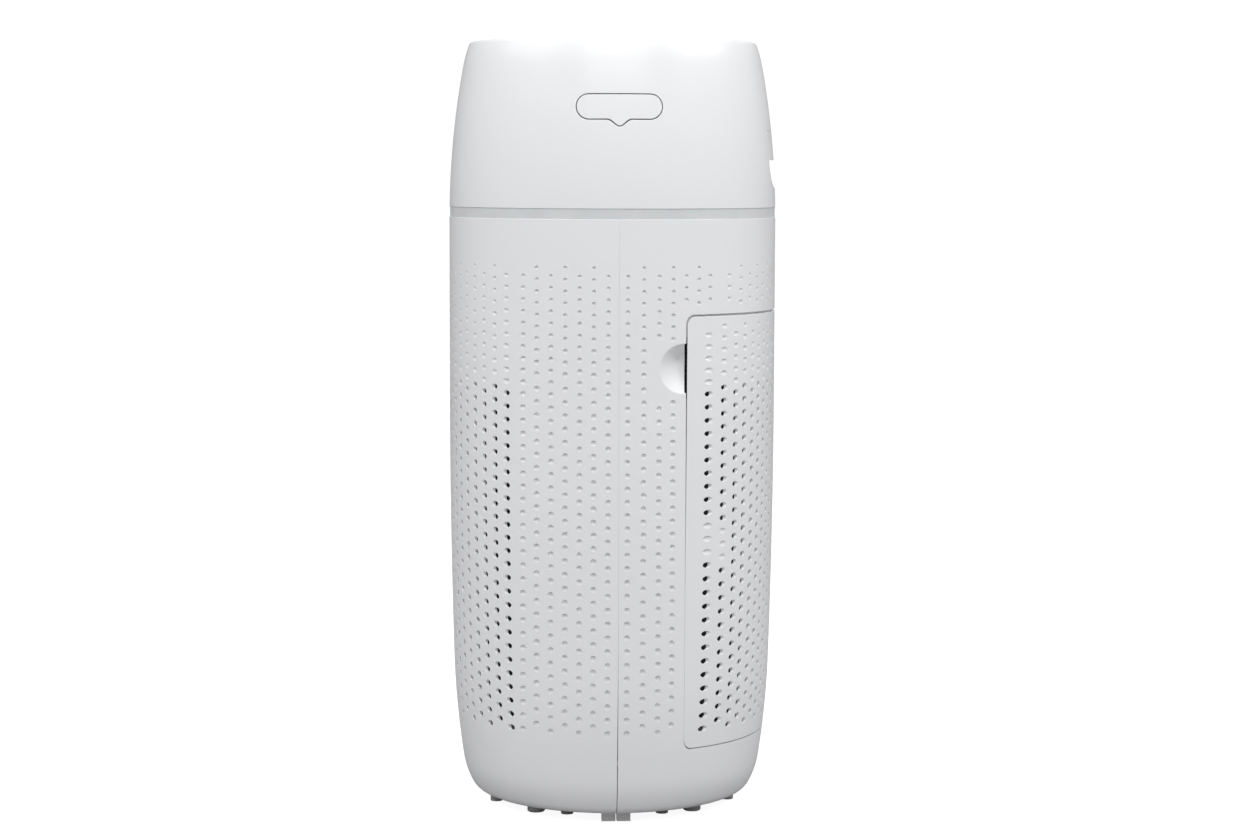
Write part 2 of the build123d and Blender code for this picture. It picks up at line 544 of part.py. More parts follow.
save(panel, "control_panel")
save(window, "display_window")
board = disc(42.5, 541.0, 542.6) + block(-11, 11, 22, 33, 542.0, 552.0)
board = board.fuse(*[disc(3.0, 542.0, 545.6, x, y) for x, y, radius in BUTTONS.values()])
save(board, "control_board")
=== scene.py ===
import json
import math

import bpy
import numpy as np
from mathutils import Matrix, Vector, geometry


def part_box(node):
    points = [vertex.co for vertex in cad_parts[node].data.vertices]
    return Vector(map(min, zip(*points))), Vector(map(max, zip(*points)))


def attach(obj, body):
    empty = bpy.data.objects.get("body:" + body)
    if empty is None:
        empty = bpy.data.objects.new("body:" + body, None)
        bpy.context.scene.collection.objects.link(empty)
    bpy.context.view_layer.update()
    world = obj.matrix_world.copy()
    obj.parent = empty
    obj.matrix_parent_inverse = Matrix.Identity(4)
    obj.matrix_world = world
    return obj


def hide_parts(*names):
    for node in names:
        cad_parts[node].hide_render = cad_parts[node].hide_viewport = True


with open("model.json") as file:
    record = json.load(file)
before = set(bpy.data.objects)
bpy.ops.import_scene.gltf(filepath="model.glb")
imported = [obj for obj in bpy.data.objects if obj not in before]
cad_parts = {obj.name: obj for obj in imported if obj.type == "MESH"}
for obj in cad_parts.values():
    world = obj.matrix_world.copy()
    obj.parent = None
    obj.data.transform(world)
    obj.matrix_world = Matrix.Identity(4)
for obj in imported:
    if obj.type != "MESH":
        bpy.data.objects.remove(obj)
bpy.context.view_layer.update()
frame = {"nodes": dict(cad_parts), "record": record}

# Tower air purifier. Mesh code works in millimetres and degrees; Piece.build() turns it into metres.
# Shells, door, head, tray and mouth are rebuilt as detailed meshes; the other CAD nodes are kept.

MM = 0.001

# ---------------------------------------------------------------- sizes, as in the CAD model
BODY_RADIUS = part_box("front_shell")[1][0] / MM
SHELL_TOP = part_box("front_shell")[1][2] / MM
HEAD_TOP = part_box("upper_housing")[1][2] / MM
HEAD_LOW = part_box("light_ring")[1][2] / MM
WALL = 2.3
TAPER_START = 298.0
BELLY_TURNS = [(6290.0, 1.74), (609.0, 7.11), (57.0, 20.15), (12.0, 61.0)]
LIP_INNER = 66.0
HEAD_TAPER = 432.3
HEAD_TURNS = [(3.0, 70.4), (100.0, 9.1), (619.0, 10.5)]
MOUTH_RADIUS = 97.0
LEDGE_RADIUS, LEDGE_LOW, LEDGE_HIGH = 93.0, 546.5, 549.5

DOOR_START = 24.0
DOOR_PLANE = 47.9
DOOR_LOW, DOOR_HIGH = 54.5, 367.6
DOOR_GAP, DOOR_TOP_GAP = 0.9, 1.4
DOOR_CORNER = 6.5
JAMB_DEPTH, JAMB_WALL, JAMB_REACH, JAMB_BAND = 3.5, 2.0, 6.0, 4.0

SCOOP_RADIUS, SCOOP_ANGLE, SCOOP_HEIGHT, SCOOP_DEPTH = 17.6, 22.1, 329.5, 7.8
DISH_UNDERCUT, DISH_CUTBACK = 0.49, 1.3
DISH_LIFT = 0.35

TRAY_HALF, TRAY_LOW, TRAY_HIGH = 30.0, 505.0, 522.0
TRAY_GAP = 0.7
BUMP_HALF, BUMP_DEPTH = 8.2, 4.8
HANDLE_HALF, HANDLE_LOW, HANDLE_HIGH = 41.0, 454.6, 498.0

# Vent rows: heights of the first row and pitch in each zone, from the top down.
ROW_ZONES = {
    "upper": (10, (394.9, 8.38), (400.8, 8.37)),
    "middle": (14, (311.0, 9.446), (315.1, 9.385)),
    "lower": (12, (178.2, 9.945), (183.2, 9.945)),
}
FRONT_COLUMNS = [-90.0 + 5.44 * step for step in range(-9, 10)]
SIDE_FRONT_COLUMNS = [-3.6, -8.45, -13.25, -18.2, -23.25, -28.5, -33.8]
SIDE_REAR_COLUMNS = [2.9, 8.3, 13.55, 18.5, 23.35, 28.1, 32.7]
DOOR_COLUMNS = [32.5, 39.3, 45.1, 50.0, 54.9] + [59.3 + 4.386 * step for step in range(8)]
BACK_COLUMNS = [41.5, 47.4, 52.75] + [57.6 + 4.63 * step for step in range(8)]
LOWEST_OVER_DOOR, HIGHEST_IN_DOOR = 372.0, 360.0
VENT_RADII = [70.0, 190.0, 315.0, 400.0], [2.4, 2.32, 2.2, 1.45]     # heights, mouth radii
RING_STEPS = 12
RING_TURNS = np.radians(360.0 * (np.arange(RING_STEPS) + 0.5) / RING_STEPS)

# Widths of the seam between the shells and of the line beside the door, against minus the height.
SEAM_GAPS = [-190.0, -130.0, -95.0, -60.0, 0.0], [0.06, 0.12, 0.3, 0.5, 0.55]
DOOR_GAPS = ([-360.0, -300.0, -250.0, -220.0, -190.0, -150.0, -100.0],
             [0.95, 0.75, 0.5, 0.32, 0.2, 0.12, 0.1])

GLAND_Z, GLAND_FACE, GLAND_TOP = 33.0, 103.5, 106.5
GLAND_HOLE, GLAND_RECESS, GLAND_SEAT = 5.0, 8.0, 9.6

# Rings of a dimple: share of its radius, depth in mm, lean of the normal in degrees at its top and its
# bottom, and lift of its centre as a share of the radius. The deepest spot lies above the middle.
DIMPLE_ROWS = [(0.92, 0.25, (58, 16), 0.02), (0.62, 1.30, (66, 22), 0.08), (0.30, 1.92, (52, 14), 0.25)]
DIMPLE_FLOOR = 1.98

# ---------------------------------------------------------------- studio
SKY_BASE, SKY_RISE, SKY_FRONT = 0.30, 0.22, 0.06
SOFTBOX_SIZE, SOFTBOX_AIM = 1.8, (0.0, 0.0, 0.3)
SOFTBOXES = [
    ("front_box", (1.7, 0.0, 2.0), 24.4),
    ("left_box", (0.42, -1.55, 2.05), 23.6),
    ("right_box", (0.42, 1.55, 2.05), 27.6),
]
FLOOR_RADIUS, FLOOR_GLOW, PLAIN_WHITE = 7.0, 0.92, 1.05
CAMERA_PLACE, CAMERA_LENS = (2.0272, -0.0850, 0.469), 78.23
CAMERA_ANGLES = 177.28, -5.19, 0.186     # heading, pitch, roll


# ---------------------------------------------------------------- half sections
class Outline:
    """A half section followed by arc length, with its outward normal; it turns clockwise."""

    def __init__(self, start, heading, steps):
        points, headings = [start], [heading]
        for radius, amount in steps:
            span = amount if radius is None else radius * math.radians(amount)
            turn = 0.0 if radius is None else amount
            count = max(2, int(span / 0.5))
            reach = span / count if radius is None else 2 * radius * math.sin(math.radians(turn / count) / 2)
            for _ in range(count):
                aim = math.radians(headings[-1] - turn / count / 2)
                points.append((points[-1][0] + reach * math.cos(aim), points[-1][1] + reach * math.sin(aim)))
                headings.append(headings[-1] - turn / count)
        self.r, self.z = np.array(points).T
        self.length = np.concatenate([[0.0], np.cumsum(np.hypot(np.diff(self.r), np.diff(self.z)))])
        self.heading = np.array(headings)
        self.nr = -np.sin(np.radians(headings))
        self.nz = np.cos(np.radians(headings))
        self.end = self.length[-1]

    def at(self, v, depth=0.0):
        """Radius, height and normal at an arc length, at a depth under the skin."""
        nr = np.interp(v, self.length, self.nr)
        nz = np.interp(v, self.length, self.nz)
        size = np.hypot(nr, nz)
        nr, nz = nr / size, nz / size
        r = np.interp(v, self.length, self.r) - depth * nr
        z = np.interp(v, self.length, self.z) - depth * nz
        return r, z, nr, nz

    def find(self, height, depth=0.0):
        """The arc length at a height on the side, at a depth under the skin."""
        side = self.nr > 0.5
        heights = (self.z - depth * self.nz)[side]
        return np.interp(-np.asarray(height, float), -heights, self.length[side])

    def rows(self):
        """Arc lengths close enough together to follow the curve."""
        measure = self.length / 12.0 + (self.heading[0] - self.heading) / 5.0
        count = int(measure[-1])
        return np.interp((np.arange(count) + 0.5) * measure[-1] / count, measure, self.length)


def body_outline():
    """The two shells' half section, from the top edge down and in under the base."""
    side = [(None, SHELL_TOP - TAPER_START)] + BELLY_TURNS
    run = Outline((BODY_RADIUS, SHELL_TOP), -90.0, side).r[-1] - LIP_INNER
    return Outline((BODY_RADIUS, SHELL_TOP), -90.0, side + [(None, run)])


def head_outline():
    """The head's half section, from the mouth out and down to its lower edge."""
    rim = BODY_RADIUS - Outline((0.0, HEAD_TOP), 0.0, HEAD_TURNS).r[-1]
    radius, turn = HEAD_TURNS[-1]
    cut = math.degrees(math.asin((HEAD_LOW - HEAD_TAPER) / radius))
    turns = HEAD_TURNS[:-1] + [(radius, turn - cut)]
    return Outline((MOUTH_RADIUS, HEAD_TOP), 0.0, [(None, rim - MOUTH_RADIUS)] + turns)


# ---------------------------------------------------------------- plane geometry
def unit(vectors):
    return vectors / np.maximum(np.linalg.norm(vectors, axis=-1, keepdims=True), 1e-12)


def area(loop):
    x, y = loop.T
    return 0.5 * np.sum(x * np.roll(y, -1) - y * np.roll(x, -1))


def inside(points, loop):
    """Whether each point is inside a closed loop."""
    x, y = points.T
    result = np.zeros(len(points), bool)
    for (x0, y0), (x1, y1) in zip(loop, np.roll(loop, -1, axis=0)):
        if y0 != y1:
            result ^= ((y0 > y) != (y1 > y)) & (x < (x1 - x0) * (y - y0) / (y1 - y0) + x0)
    return result


def far_from(points, others, distance):
    """Whether each point is further than a distance from all the others."""
    keep = np.ones(len(points), bool)
    for start in range(0, len(points), 400):
        part = points[start:start + 400]
        gaps = np.linalg.norm(part[:, None] - others[None], axis=2)
        keep[start:start + 400] = gaps.min(axis=1) > distance
    return keep


def resample(loop, step):
    """Adds points along the long stretches of a closed loop."""
    points = []
    for start, end in zip(loop, np.roll(loop, -1, axis=0)):
        count = max(1, int(math.ceil(np.linalg.norm(end - start) / step - 1e-6)))
        points += [start + (end - start) * k / count for k in range(count)]
    return np.array(points)


def left_of(loop):
    """Unit vectors to the left of a closed loop, and how far a corner stretches them."""
    before, after = unit(loop - np.roll(loop, 1, axis=0)), unit(np.roll(loop, -1, axis=0) - loop)
    left = np.stack([-before[:, 1] - after[:, 1], before[:, 0] + after[:, 0]], 1)
    size = np.linalg.norm(left, axis=1, keepdims=True)
    return left / size, 2 / np.maximum(size, 1.0)


def rounded_rectangle(low, high, corner, steps=8):
    """A closed loop from two corners, with rounded corners."""
    points = []
    (x0, y0), (x1, y1) = low, high
    for x, y, start in ((x1, y1, 0), (x0, y1, 90), (x0, y0, 180), (x1, y0, 270)):
        cx = x - math.copysign(corner, x - (x0 + x1) / 2)
        cy = y - math.copysign(corner, y - (y0 + y1) / 2)
        for k in range(steps + 1):
            turn = math.radians(start + 90.0 * k / steps)
            points.append((cx + corner * math.cos(turn), cy + corner * math.sin(turn)))
    return np.array(points)


def stack(blocks):
    """All points in one array, with the indices of each block."""
    ends = np.cumsum([len(block) for block in blocks])
    groups = [np.arange(end - len(block), end) for end, block in zip(ends, blocks)]
    return np.concatenate(blocks), groups


def fill(flat, loops, rings):
    """Triangles over a flat sheet between loops (the first is the outside) and around rings."""
    edges = []
    for loop in loops + rings:
        edges += [(int(a), int(b)) for a, b in zip(loop, np.roll(loop, -1))]
    found = geometry.delaunay_2d_cdt([Vector(p) for p in flat.tolist()], edges, [], 0, 1e-6)
    source = np.array([ids[0] if ids else -1 for ids in found[3]])
    corners = source[np.array(found[2])]
    corners = corners[(corners >= 0).all(axis=1)]
    owner = np.full(len(flat), -1)
    for number, ring in enumerate(rings):
        owner[ring] = number
    owner = owner[corners]
    filled = (owner[:, 0] >= 0) & (owner[:, 0] == owner[:, 1]) & (owner[:, 1] == owner[:, 2])
    corners = corners[~filled]
    middle = flat[corners].mean(axis=1)
    keep = inside(middle, flat[loops[0]])
    for loop in loops[1:]:
        keep &= ~inside(middle, flat[loop])
    return corners[keep]


# ---------------------------------------------------------------- mesh building
class Piece:
    """Corners, faces and corner normals of one mesh."""

    def __init__(self):
        self.points = []
        self.faces = []
        self.normals = []
        self.count = 0

    def add_points(self, points):
        self.points.append(points)
        self.count += len(points)
        return np.arange(self.count - len(points), self.count)

    def add_faces(self, corners, normals):
        """Rows of point indices, with a normal for each corner."""
        self.faces.append(corners)
        self.normals.append(normals)

    def strip(self, low, high, low_normals, high_normals, keep=None):
        """Quads between two closed rows of points, or only some of them."""
        after = np.roll(np.arange(len(low)), -1)
        corners = np.stack([low, low[after], high[after], high], axis=1)
        normals = np.stack([low_normals, low_normals[after], high_normals[after], high_normals], axis=1)
        if keep is not None:
            corners, normals = corners[keep], normals[keep]
        self.add_faces(corners, normals)

    def lathe(self, profile, steps=180):
        """A closed ring from a counterclockwise (r, z) loop, with flat-shaded sides."""
        turn = np.radians(np.arange(steps) * 360.0 / steps)
        c, s = np.cos(turn), np.sin(turn)
        rows = [self.add_points(np.stack([r * c, r * s, np.full(steps, z)], 1)) for r, z in profile]
        for k, (r0, z0) in enumerate(profile):
            r1, z1 = profile[(k + 1) % len(profile)]
            nr, nz = unit(np.array([z1 - z0, r0 - r1]))
            normals = np.stack([nr * c, nr * s, np.full(steps, nz)], 1)
            self.strip(rows[k], rows[(k + 1) % len(profile)], normals, normals)

    def build(self, name, material):
        """Makes the Blender object in metres, its faces turned to agree with their normals."""
        points = np.concatenate(self.points)
        _, first, same = np.unique(np.round(points, 4), axis=0, return_index=True, return_inverse=True)
        points, same = points[first], same.ravel()
        faces, normals = [], []
        for corners, shades in zip(self.faces, self.normals):
            corners = same[corners]
            a, b, c = (points[corners[:, k]] for k in range(3))
            facing = np.cross(b - a, points[corners[:, -1]] - a)
            if corners.shape[1] == 4:
                facing = np.cross(c - a, points[corners[:, 3]] - b)
            flip = np.einsum("ij,ij->i", facing, shades.mean(axis=1)) < 0
            corners = np.where(flip[:, None], corners[:, ::-1], corners)
            shades = np.where(flip[:, None, None], shades[:, ::-1], shades)
            faces += corners.tolist()
            normals += shades.tolist()
        clean = [(face, shade) for face, shade in zip(faces, normals) if len(set(face)) == len(face)]
        mesh = bpy.data.meshes.new(name)
        mesh.from_pydata((points * MM).tolist(), [], [face for face, _ in clean])
        mesh.polygons.foreach_set("use_smooth", [True] * len(mesh.polygons))
        mesh.normals_split_custom_set([normal for _, shade in clean for normal in shade])
        mesh.materials.append(material)
        item = bpy.data.objects.new(name, mesh)
        bpy.context.collection.objects.link(item)
        return item


class Panel:
    """A moulded wall that follows an outline round Z, with cut-outs, dimples and vents.

    Flat coordinates are (s, v): s is the angle times the body's radius, v the outline's arc length.
    """

    def __init__(self, outline, wall=WALL, outer_depth=0.0, relief=None, relief_points=None):
        self.outline = outline
        self.wall = wall
        self.outer_depth = outer_depth
        self.relief = relief
        self.relief_points = relief_points
        self.wrapped = False
        self.undercut = 0.0
        self.piece = Piece()
        self.loops = []
        self.edges = []
        self.vents = []

    def flat(self, degrees, v):
        degrees, v = np.broadcast_arrays(np.asarray(degrees, float), np.asarray(v, float))
        return np.stack([np.radians(degrees) * BODY_RADIUS, v], axis=-1)

    def seen_from_x(self, points, side=1):
        """Flat coordinates of (y, z) points projected along X."""
        y, z = points.T
        v = self.outline.find(z)
        angle = np.degrees(np.arcsin(y / self.outline.at(v)[0]))
        return self.flat(angle if side > 0 else 180.0 - angle, v)

    def seen_from_behind(self, points):
        """Flat coordinates of (x, z) points projected along Y on the rear."""
        x, z = points.T
        v = self.outline.find(z)
        return self.flat(np.degrees(np.arccos(x / self.outline.at(v)[0])), v)

    def add_loop(self, loop, edge):
        """A boundary as flat points, the outer one first, with its rounding or a function for it."""
        hole = bool(self.loops)
        if (area(loop) > 0) == hole:
            loop = loop[::-1]
        loop = resample(loop, 2.5)
        self.loops.append(loop)
        self.edges.append(edge(loop) if callable(edge) else np.full(len(loop), edge))

    def frame_at(self, flat, depth):
        """Points, normals and the two tangents at flat coordinates."""
        angle = flat[:, 0] / BODY_RADIUS
        r, z, nr, nz = self.outline.at(flat[:, 1], depth)
        c, s = np.cos(angle), np.sin(angle)
        points = np.stack([r * c, r * s, z], 1)
        normals = np.stack([nr * c, nr * s, nz], 1)
        along = np.stack([-s, c, 0 * c], 1)
        down = np.stack([nz * c, nz * s, -nr], 1)
        return points, normals, along, down

    def skin(self, flat, depth=0.0):
        """Points and normals of the outer skin, with its relief."""
        sunk = self.relief(flat) if self.relief else 0.0
        points, normals, along, down = self.frame_at(flat, sunk + depth + self.outer_depth)
        if self.relief:
            nudge = 0.05
            across = self.relief(flat + [nudge, 0]) - self.relief(flat - [nudge, 0])
            descent = self.relief(flat + [0, nudge]) - self.relief(flat - [0, nudge])
            lean = across[:, None] * along + descent[:, None] * down
            normals = unit(normals + lean / (2 * nudge))
        return points, normals

    def back(self, flat):
        """Points and normals of the inner skin."""
        depth = self.wall + self.outer_depth
        if self.relief:
            depth = np.maximum(depth, self.relief(flat) + 1.8)
        points, normals, _, _ = self.frame_at(flat, depth)
        return points, -normals

    def ring(self, vent, radius, depth=0.0):
        """Flat coordinates of a vent's circle on the skin, or at a depth under it."""
        pull, side, centre, height = vent[:4]
        across = centre + radius * np.cos(RING_TURNS)
        v = self.outline.find(height + radius * np.sin(RING_TURNS), depth)
        share = np.clip(across / self.outline.at(v, depth)[0], -1, 1)
        if pull == "Y":
            return self.flat(side * np.degrees(np.arccos(share)), v)
        angle = np.degrees(np.arcsin(share))
        if side < 0:
            angle = (180.0 if centre > 0 else -180.0) - angle
        return self.flat(angle, v)

    def carrying_points(self, rings):
        """Points between the loops and rings, so that triangles follow the curve."""
        low, high = self.loops[0].min(axis=0), self.loops[0].max(axis=0)
        across = np.arange(low[0] + 4.0, high[0] - 2.0, 6.0)
        down = self.outline.rows()
        down = down[(down > low[1] + 1.0) & (down < high[1] - 1.0)]
        grid = np.stack(np.meshgrid(across, down), -1).reshape(-1, 2)
        if rings:
            grid = grid[far_from(grid, np.array([ring.mean(axis=0) for ring in rings]), 6.0)]
        if self.relief:
            extra = self.relief_points()
            grid = np.concatenate([grid[far_from(grid, extra, 1.6)], extra])
        keep = inside(grid, self.loops[0])
        for loop in self.loops[1:]:
            keep &= ~inside(grid, loop)
        grid = grid[keep]
        return grid[far_from(grid, np.concatenate(self.loops), 1.3)]

    def make(self, name, material):
        piece = self.piece
        rings = [self.ring(vent, vent[4]) for vent in self.vents]
        grid = self.carrying_points(rings)
        edges = [self.shape_edge(loop, edge) for loop, edge in zip(self.loops, self.edges)]
        flat, groups = stack([rim for rim, _ in edges] + rings + [grid])
        count = len(edges)
        corners = fill(flat, groups[:count], groups[count:-1])
        points, normals = self.skin(flat)
        ids = piece.add_points(points)
        piece.add_faces(ids[corners], normals[corners])
        backs = []
        for number, group in enumerate(groups[:count]):
            backs.append(self.edge_walls(number, edges[number], ids[group], normals[group]))
        through = []
        for vent, group in zip(self.vents, groups[count:-1]):
            if vent[5]:
                through.append(self.cut_vent(vent, ids[group], normals[group]))
            else:
                self.press_dimple(vent, ids[group], normals[group])
        self.close_back(backs, through)
        return piece.build(name, material)

    def shape_edge(self, loop, edge):
        """The loop moved in by its rounding, and outward directions; a wrapped panel has open sides."""
        left, stretch = left_of(loop)
        if self.wrapped and loop is self.loops[0]:
            left[:, 0] = 0.0
            top = loop[:, 1] < 0.01
            low = loop[:, 1] > self.outline.end - 0.01
            left[:, 1] = np.where(top, 1.0, np.where(low, -1.0, 0.0))
            stretch = 1.0
        return loop + edge[:, None] * left * stretch, -left

    def edge_walls(self, number, shaped, ids, normals):
        """Rounds the edge of the skin and runs it through the wall; returns its inner ids."""
        piece, loop, edge = self.piece, self.loops[number], self.edges[number]
        rim, out = shaped
        _, _, along, down = self.frame_at(loop, self.outer_depth)
        outward = unit(out[:, :1] * along + out[:, 1:] * down)
        rounded, base = self.skin(loop + (rim - loop) * 0.3, edge * 0.3)
        side, _ = self.skin(loop, edge)
        back, _ = self.back(loop - self.undercut * out)
        keep = None
        if self.wrapped and number == 0:
            flat_side = np.abs(out[:, 1]) > 0.5
            keep = flat_side & np.roll(flat_side, -1) & (np.abs(loop[:, 1] - np.roll(loop[:, 1], -1)) < 0.01)
            open_side = ~flat_side
            rounded[open_side], side[open_side] = self.skin(loop)[0][open_side], self.skin(loop)[0][open_side]
        middle = unit(base + outward)
        row_1, row_2, row_3 = (piece.add_points(row) for row in (rounded, side, back))
        piece.strip(row_1, ids, middle, normals, keep)
        piece.strip(row_2, row_1, outward, middle, keep)
        piece.strip(row_3, row_2, outward, outward, keep)
        return row_3

    def vent_row(self, vent, scale, depth, slope, lift=0.0):
        """One ring of a vent, pressed in along its pull, with normals leaning to its axis."""
        pull, side, centre, height, size = vent[:5]
        vent = (pull, side, centre, height + lift * size, size)
        inward = np.array([0.0, -side, 0.0]) if pull == "Y" else np.array([-side, 0.0, 0.0])
        level = np.array([1.0, 0, 0]) if pull == "Y" else np.array([0, 1.0, 0])
        spoke = -(np.cos(RING_TURNS)[:, None] * level + np.sin(RING_TURNS)[:, None] * np.array([0, 0, 1.0]))
        points, skin_normals = self.skin(self.ring(vent, vent[4] * scale))
        lean = np.radians(np.interp(np.sin(RING_TURNS), [-1.0, 1.0], slope[::-1]))[:, None]
        return self.piece.add_points(points + inward * depth), unit(
            skin_normals * np.cos(lean) + spoke * np.sin(lean)), spoke

    def cut_vent(self, vent, ids, normals):
        """The rounded mouth and the wall of a through vent; returns its inner ring."""
        lip, lip_normals, spoke = self.vent_row(vent, 0.86, 0.32, (60, 40))
        self.piece.strip(ids, lip, normals, lip_normals)
        flat = self.ring(vent, vent[4] * 1.3, self.wall)
        far = self.piece.add_points(self.back(flat)[0])
        self.piece.strip(lip, far, spoke, spoke)
        return flat, far

    def press_dimple(self, vent, ids, normals):
        """The dished floor of a blind vent."""
        size = (vent[4] / 2.3) ** 0.4
        before, before_normals = ids, normals
        for scale, depth, slope, lift in DIMPLE_ROWS:
            now, now_normals, _ = self.vent_row(vent, scale, depth * size, slope, lift)
            self.piece.strip(before, now, before_normals, now_normals)
            before, before_normals = now, now_normals
        centre, up, _ = self.vent_row(vent, 0.002, DIMPLE_FLOOR * size, (0, 0), lift)
        after = np.roll(np.arange(RING_STEPS), -1)
        middle = np.full(RING_STEPS, centre[0])
        shades = np.stack([before_normals, before_normals[after], up], 1)
        self.piece.add_faces(np.stack([before, before[after], middle], 1), shades)

    def close_back(self, backs, through):
        """The inner skin, between the inner edges and the through vents."""
        rings = [flat for flat, _ in through]
        grid = self.carrying_points(rings)
        inner = [loop + self.undercut * left_of(loop)[0] for loop in self.loops]
        flat, groups = stack(inner + rings + [grid])
        count = len(self.loops)
        corners = fill(flat, groups[:count], groups[count:-1])
        points, normals = self.back(flat)
        ids = np.zeros(len(flat), int)
        for group, known in zip(groups, backs + [far for _, far in through]):
            ids[group] = known
        ids[groups[-1]] = self.piece.add_points(points[groups[-1]])
        self.piece.add_faces(ids[corners], normals[corners])


# ---------------------------------------------------------------- materials
class Shade:
    """A node material built round one Principled shader."""

    def __init__(self, name):
        self.material = bpy.data.materials.new(name)
        self.material.use_nodes = True
        self.tree = self.material.node_tree
        self.shader = self.tree.nodes["Principled BSDF"]
        self.place = self.tree.nodes.new("ShaderNodeTexCoord").outputs["Object"]

    def node(self, kind, **settings):
        made = self.tree.nodes.new("ShaderNode" + kind)
        for key, value in settings.items():
            if hasattr(made, key):
                setattr(made, key, value)
            else:
                made.inputs[key.replace("_", " ")].default_value = value
        return made

    def link(self, start, end):
        self.tree.links.new(start, end)

    def set(self, **values):
        for key, value in values.items():
            if key == "Base_Color":
                value = (*value, 1.0)
            self.shader.inputs[key.replace("_", " ")].default_value = value
        return self

    def noise(self, scale, detail=2.0, roughness=0.5, stretch=None):
        made = self.node("TexNoise", Scale=scale, Detail=detail, Roughness=roughness)
        self.link(self.stretched(stretch), made.inputs["Vector"])
        return made.outputs["Fac"]

    def stretched(self, stretch):
        if stretch is None:
            return self.place
        made = self.node("Mapping")
        made.inputs["Scale"].default_value = stretch
        self.link(self.place, made.inputs["Vector"])
        return made.outputs["Vector"]

    def spread(self, value, low, high, socket, clamp=(0.3, 0.7)):
        """Maps a texture value to a range on one of the shader's sockets."""
        made = self.node("MapRange", From_Min=clamp[0], From_Max=clamp[1], To_Min=low, To_Max=high)
        self.link(value, made.inputs["Value"])
        self.link(made.outputs["Result"], self.shader.inputs[socket])

    def tint(self, value, low, high, clamp=(0.3, 0.7)):
        """Runs the base colour between two tints with a texture value."""
        ramp = self.node("ValToRGB")
        ramp.color_ramp.elements[0].position, ramp.color_ramp.elements[1].position = clamp
        ramp.color_ramp.elements[0].color, ramp.color_ramp.elements[1].color = (*low, 1), (*high, 1)
        self.link(value, ramp.inputs["Fac"])
        self.link(ramp.outputs["Color"], self.shader.inputs["Base Color"])

    def bump(self, value, strength, distance):
        """Adds relief of that distance in metres; later calls pile up on earlier ones."""
        made = self.node("Bump", Strength=strength, Distance=distance)
        self.link(value, made.inputs["Height"])
        socket = self.shader.inputs["Normal"]
        if socket.is_linked:
            self.link(socket.links[0].from_socket, made.inputs["Normal"])
        self.link(made.outputs["Normal"], socket)


def near(color, amount):
    return tuple(min(1.0, max(0.0, channel * (1 + amount))) for channel in color)


def moulded(name, color, roughness, grain=900.0, relief=0.00002, vary=0.02, coat=0.0, specular=0.5):
    """Injection-moulded plastic: a fine spark texture, slow colour drift and uneven gloss."""
    shade = Shade(name)
    shade.set(IOR=1.46, Coat_Weight=coat, Coat_Roughness=0.12, Specular_IOR_Level=specular)
    shade.tint(shade.noise(9.0, 3.0), near(color, -vary), near(color, vary))
    shade.spread(shade.noise(45.0, 4.0), roughness * 0.88, min(1.0, roughness * 1.12), "Roughness")
    shade.bump(shade.noise(grain, 2.0), 0.35, relief)
    shade.bump(shade.noise(14.0, 1.0), 0.12, 0.0002)
    return shade.material


def metal(name, color, roughness, stretch=(1, 1, 40)):
    """Rolled or turned metal with fine drawn marks."""
    shade = Shade(name)
    shade.set(Metallic=1.0)
    marks = shade.noise(120.0, 5.0, 0.6, stretch)
    shade.tint(marks, near(color, -0.10), near(color, 0.06))
    shade.spread(marks, roughness * 0.75, roughness * 1.35, "Roughness")
    shade.bump(marks, 0.2, 0.00003)
    return shade.material


def board(name, color):
    """Solder resist over copper tracks, with a fine laid pattern."""
    shade = Shade(name)
    shade.set(IOR=1.5, Coat_Weight=0.3, Coat_Roughness=0.2)
    tracks = shade.node("TexBrick", Scale=160.0, Mortar_Size=0.06, Color1=(0, 0, 0, 1),
                        Color2=(0.25, 0.25, 0.25, 1), Mortar=(1, 1, 1, 1))
    shade.link(shade.place, tracks.inputs["Vector"])
    shade.tint(tracks.outputs["Color"], near(color, -0.15), near(color, 0.9), (0.0, 1.0))
    shade.bump(tracks.outputs["Color"], 0.4, 0.00006)
    shade.spread(shade.noise(200.0), 0.32, 0.48, "Roughness")
    return shade.material


def granular(name, color, scale, relief, roughness=0.9, sheen=0.0, contrast=0.5):
    """Grains, cells or short fibres: carbon, foam and felt."""
    shade = Shade(name)
    shade.set(Sheen_Weight=sheen, Sheen_Roughness=0.5, Roughness=roughness)
    cells = shade.node("TexVoronoi", Scale=scale)
    shade.link(shade.place, cells.inputs["Vector"])
    shade.tint(cells.outputs["Distance"], near(color, -contrast), near(color, contrast * 0.4), (0.1, 0.75))
    shade.bump(cells.outputs["Distance"], 0.8, relief)
    shade.bump(shade.noise(scale * 3, 3.0), 0.4, relief * 0.4)
    return shade.material


def woven(name, color, pitch, relief, roughness=0.85, sheen=0.3):
    """Two sets of threads that cross, around and up the piece."""
    shade = Shade(name)
    shade.set(Sheen_Weight=sheen, Sheen_Roughness=0.4, Roughness=roughness)
    heights = []
    for direction in ("DIAGONAL", "Z"):
        wave = shade.node("TexWave", wave_type="BANDS", bands_direction=direction, Scale=pitch,
                          Distortion=0.3)
        shade.link(shade.place, wave.inputs["Vector"])
        heights.append(wave.outputs["Fac"])
    product = shade.node("Math", operation="MULTIPLY")
    shade.link(heights[0], product.inputs[0])
    shade.link(heights[1], product.inputs[1])
    shade.tint(product.outputs["Value"], near(color, -0.45), near(color, 0.25), (0.1, 0.8))
    shade.bump(product.outputs["Value"], 0.7, relief)
    return shade.material


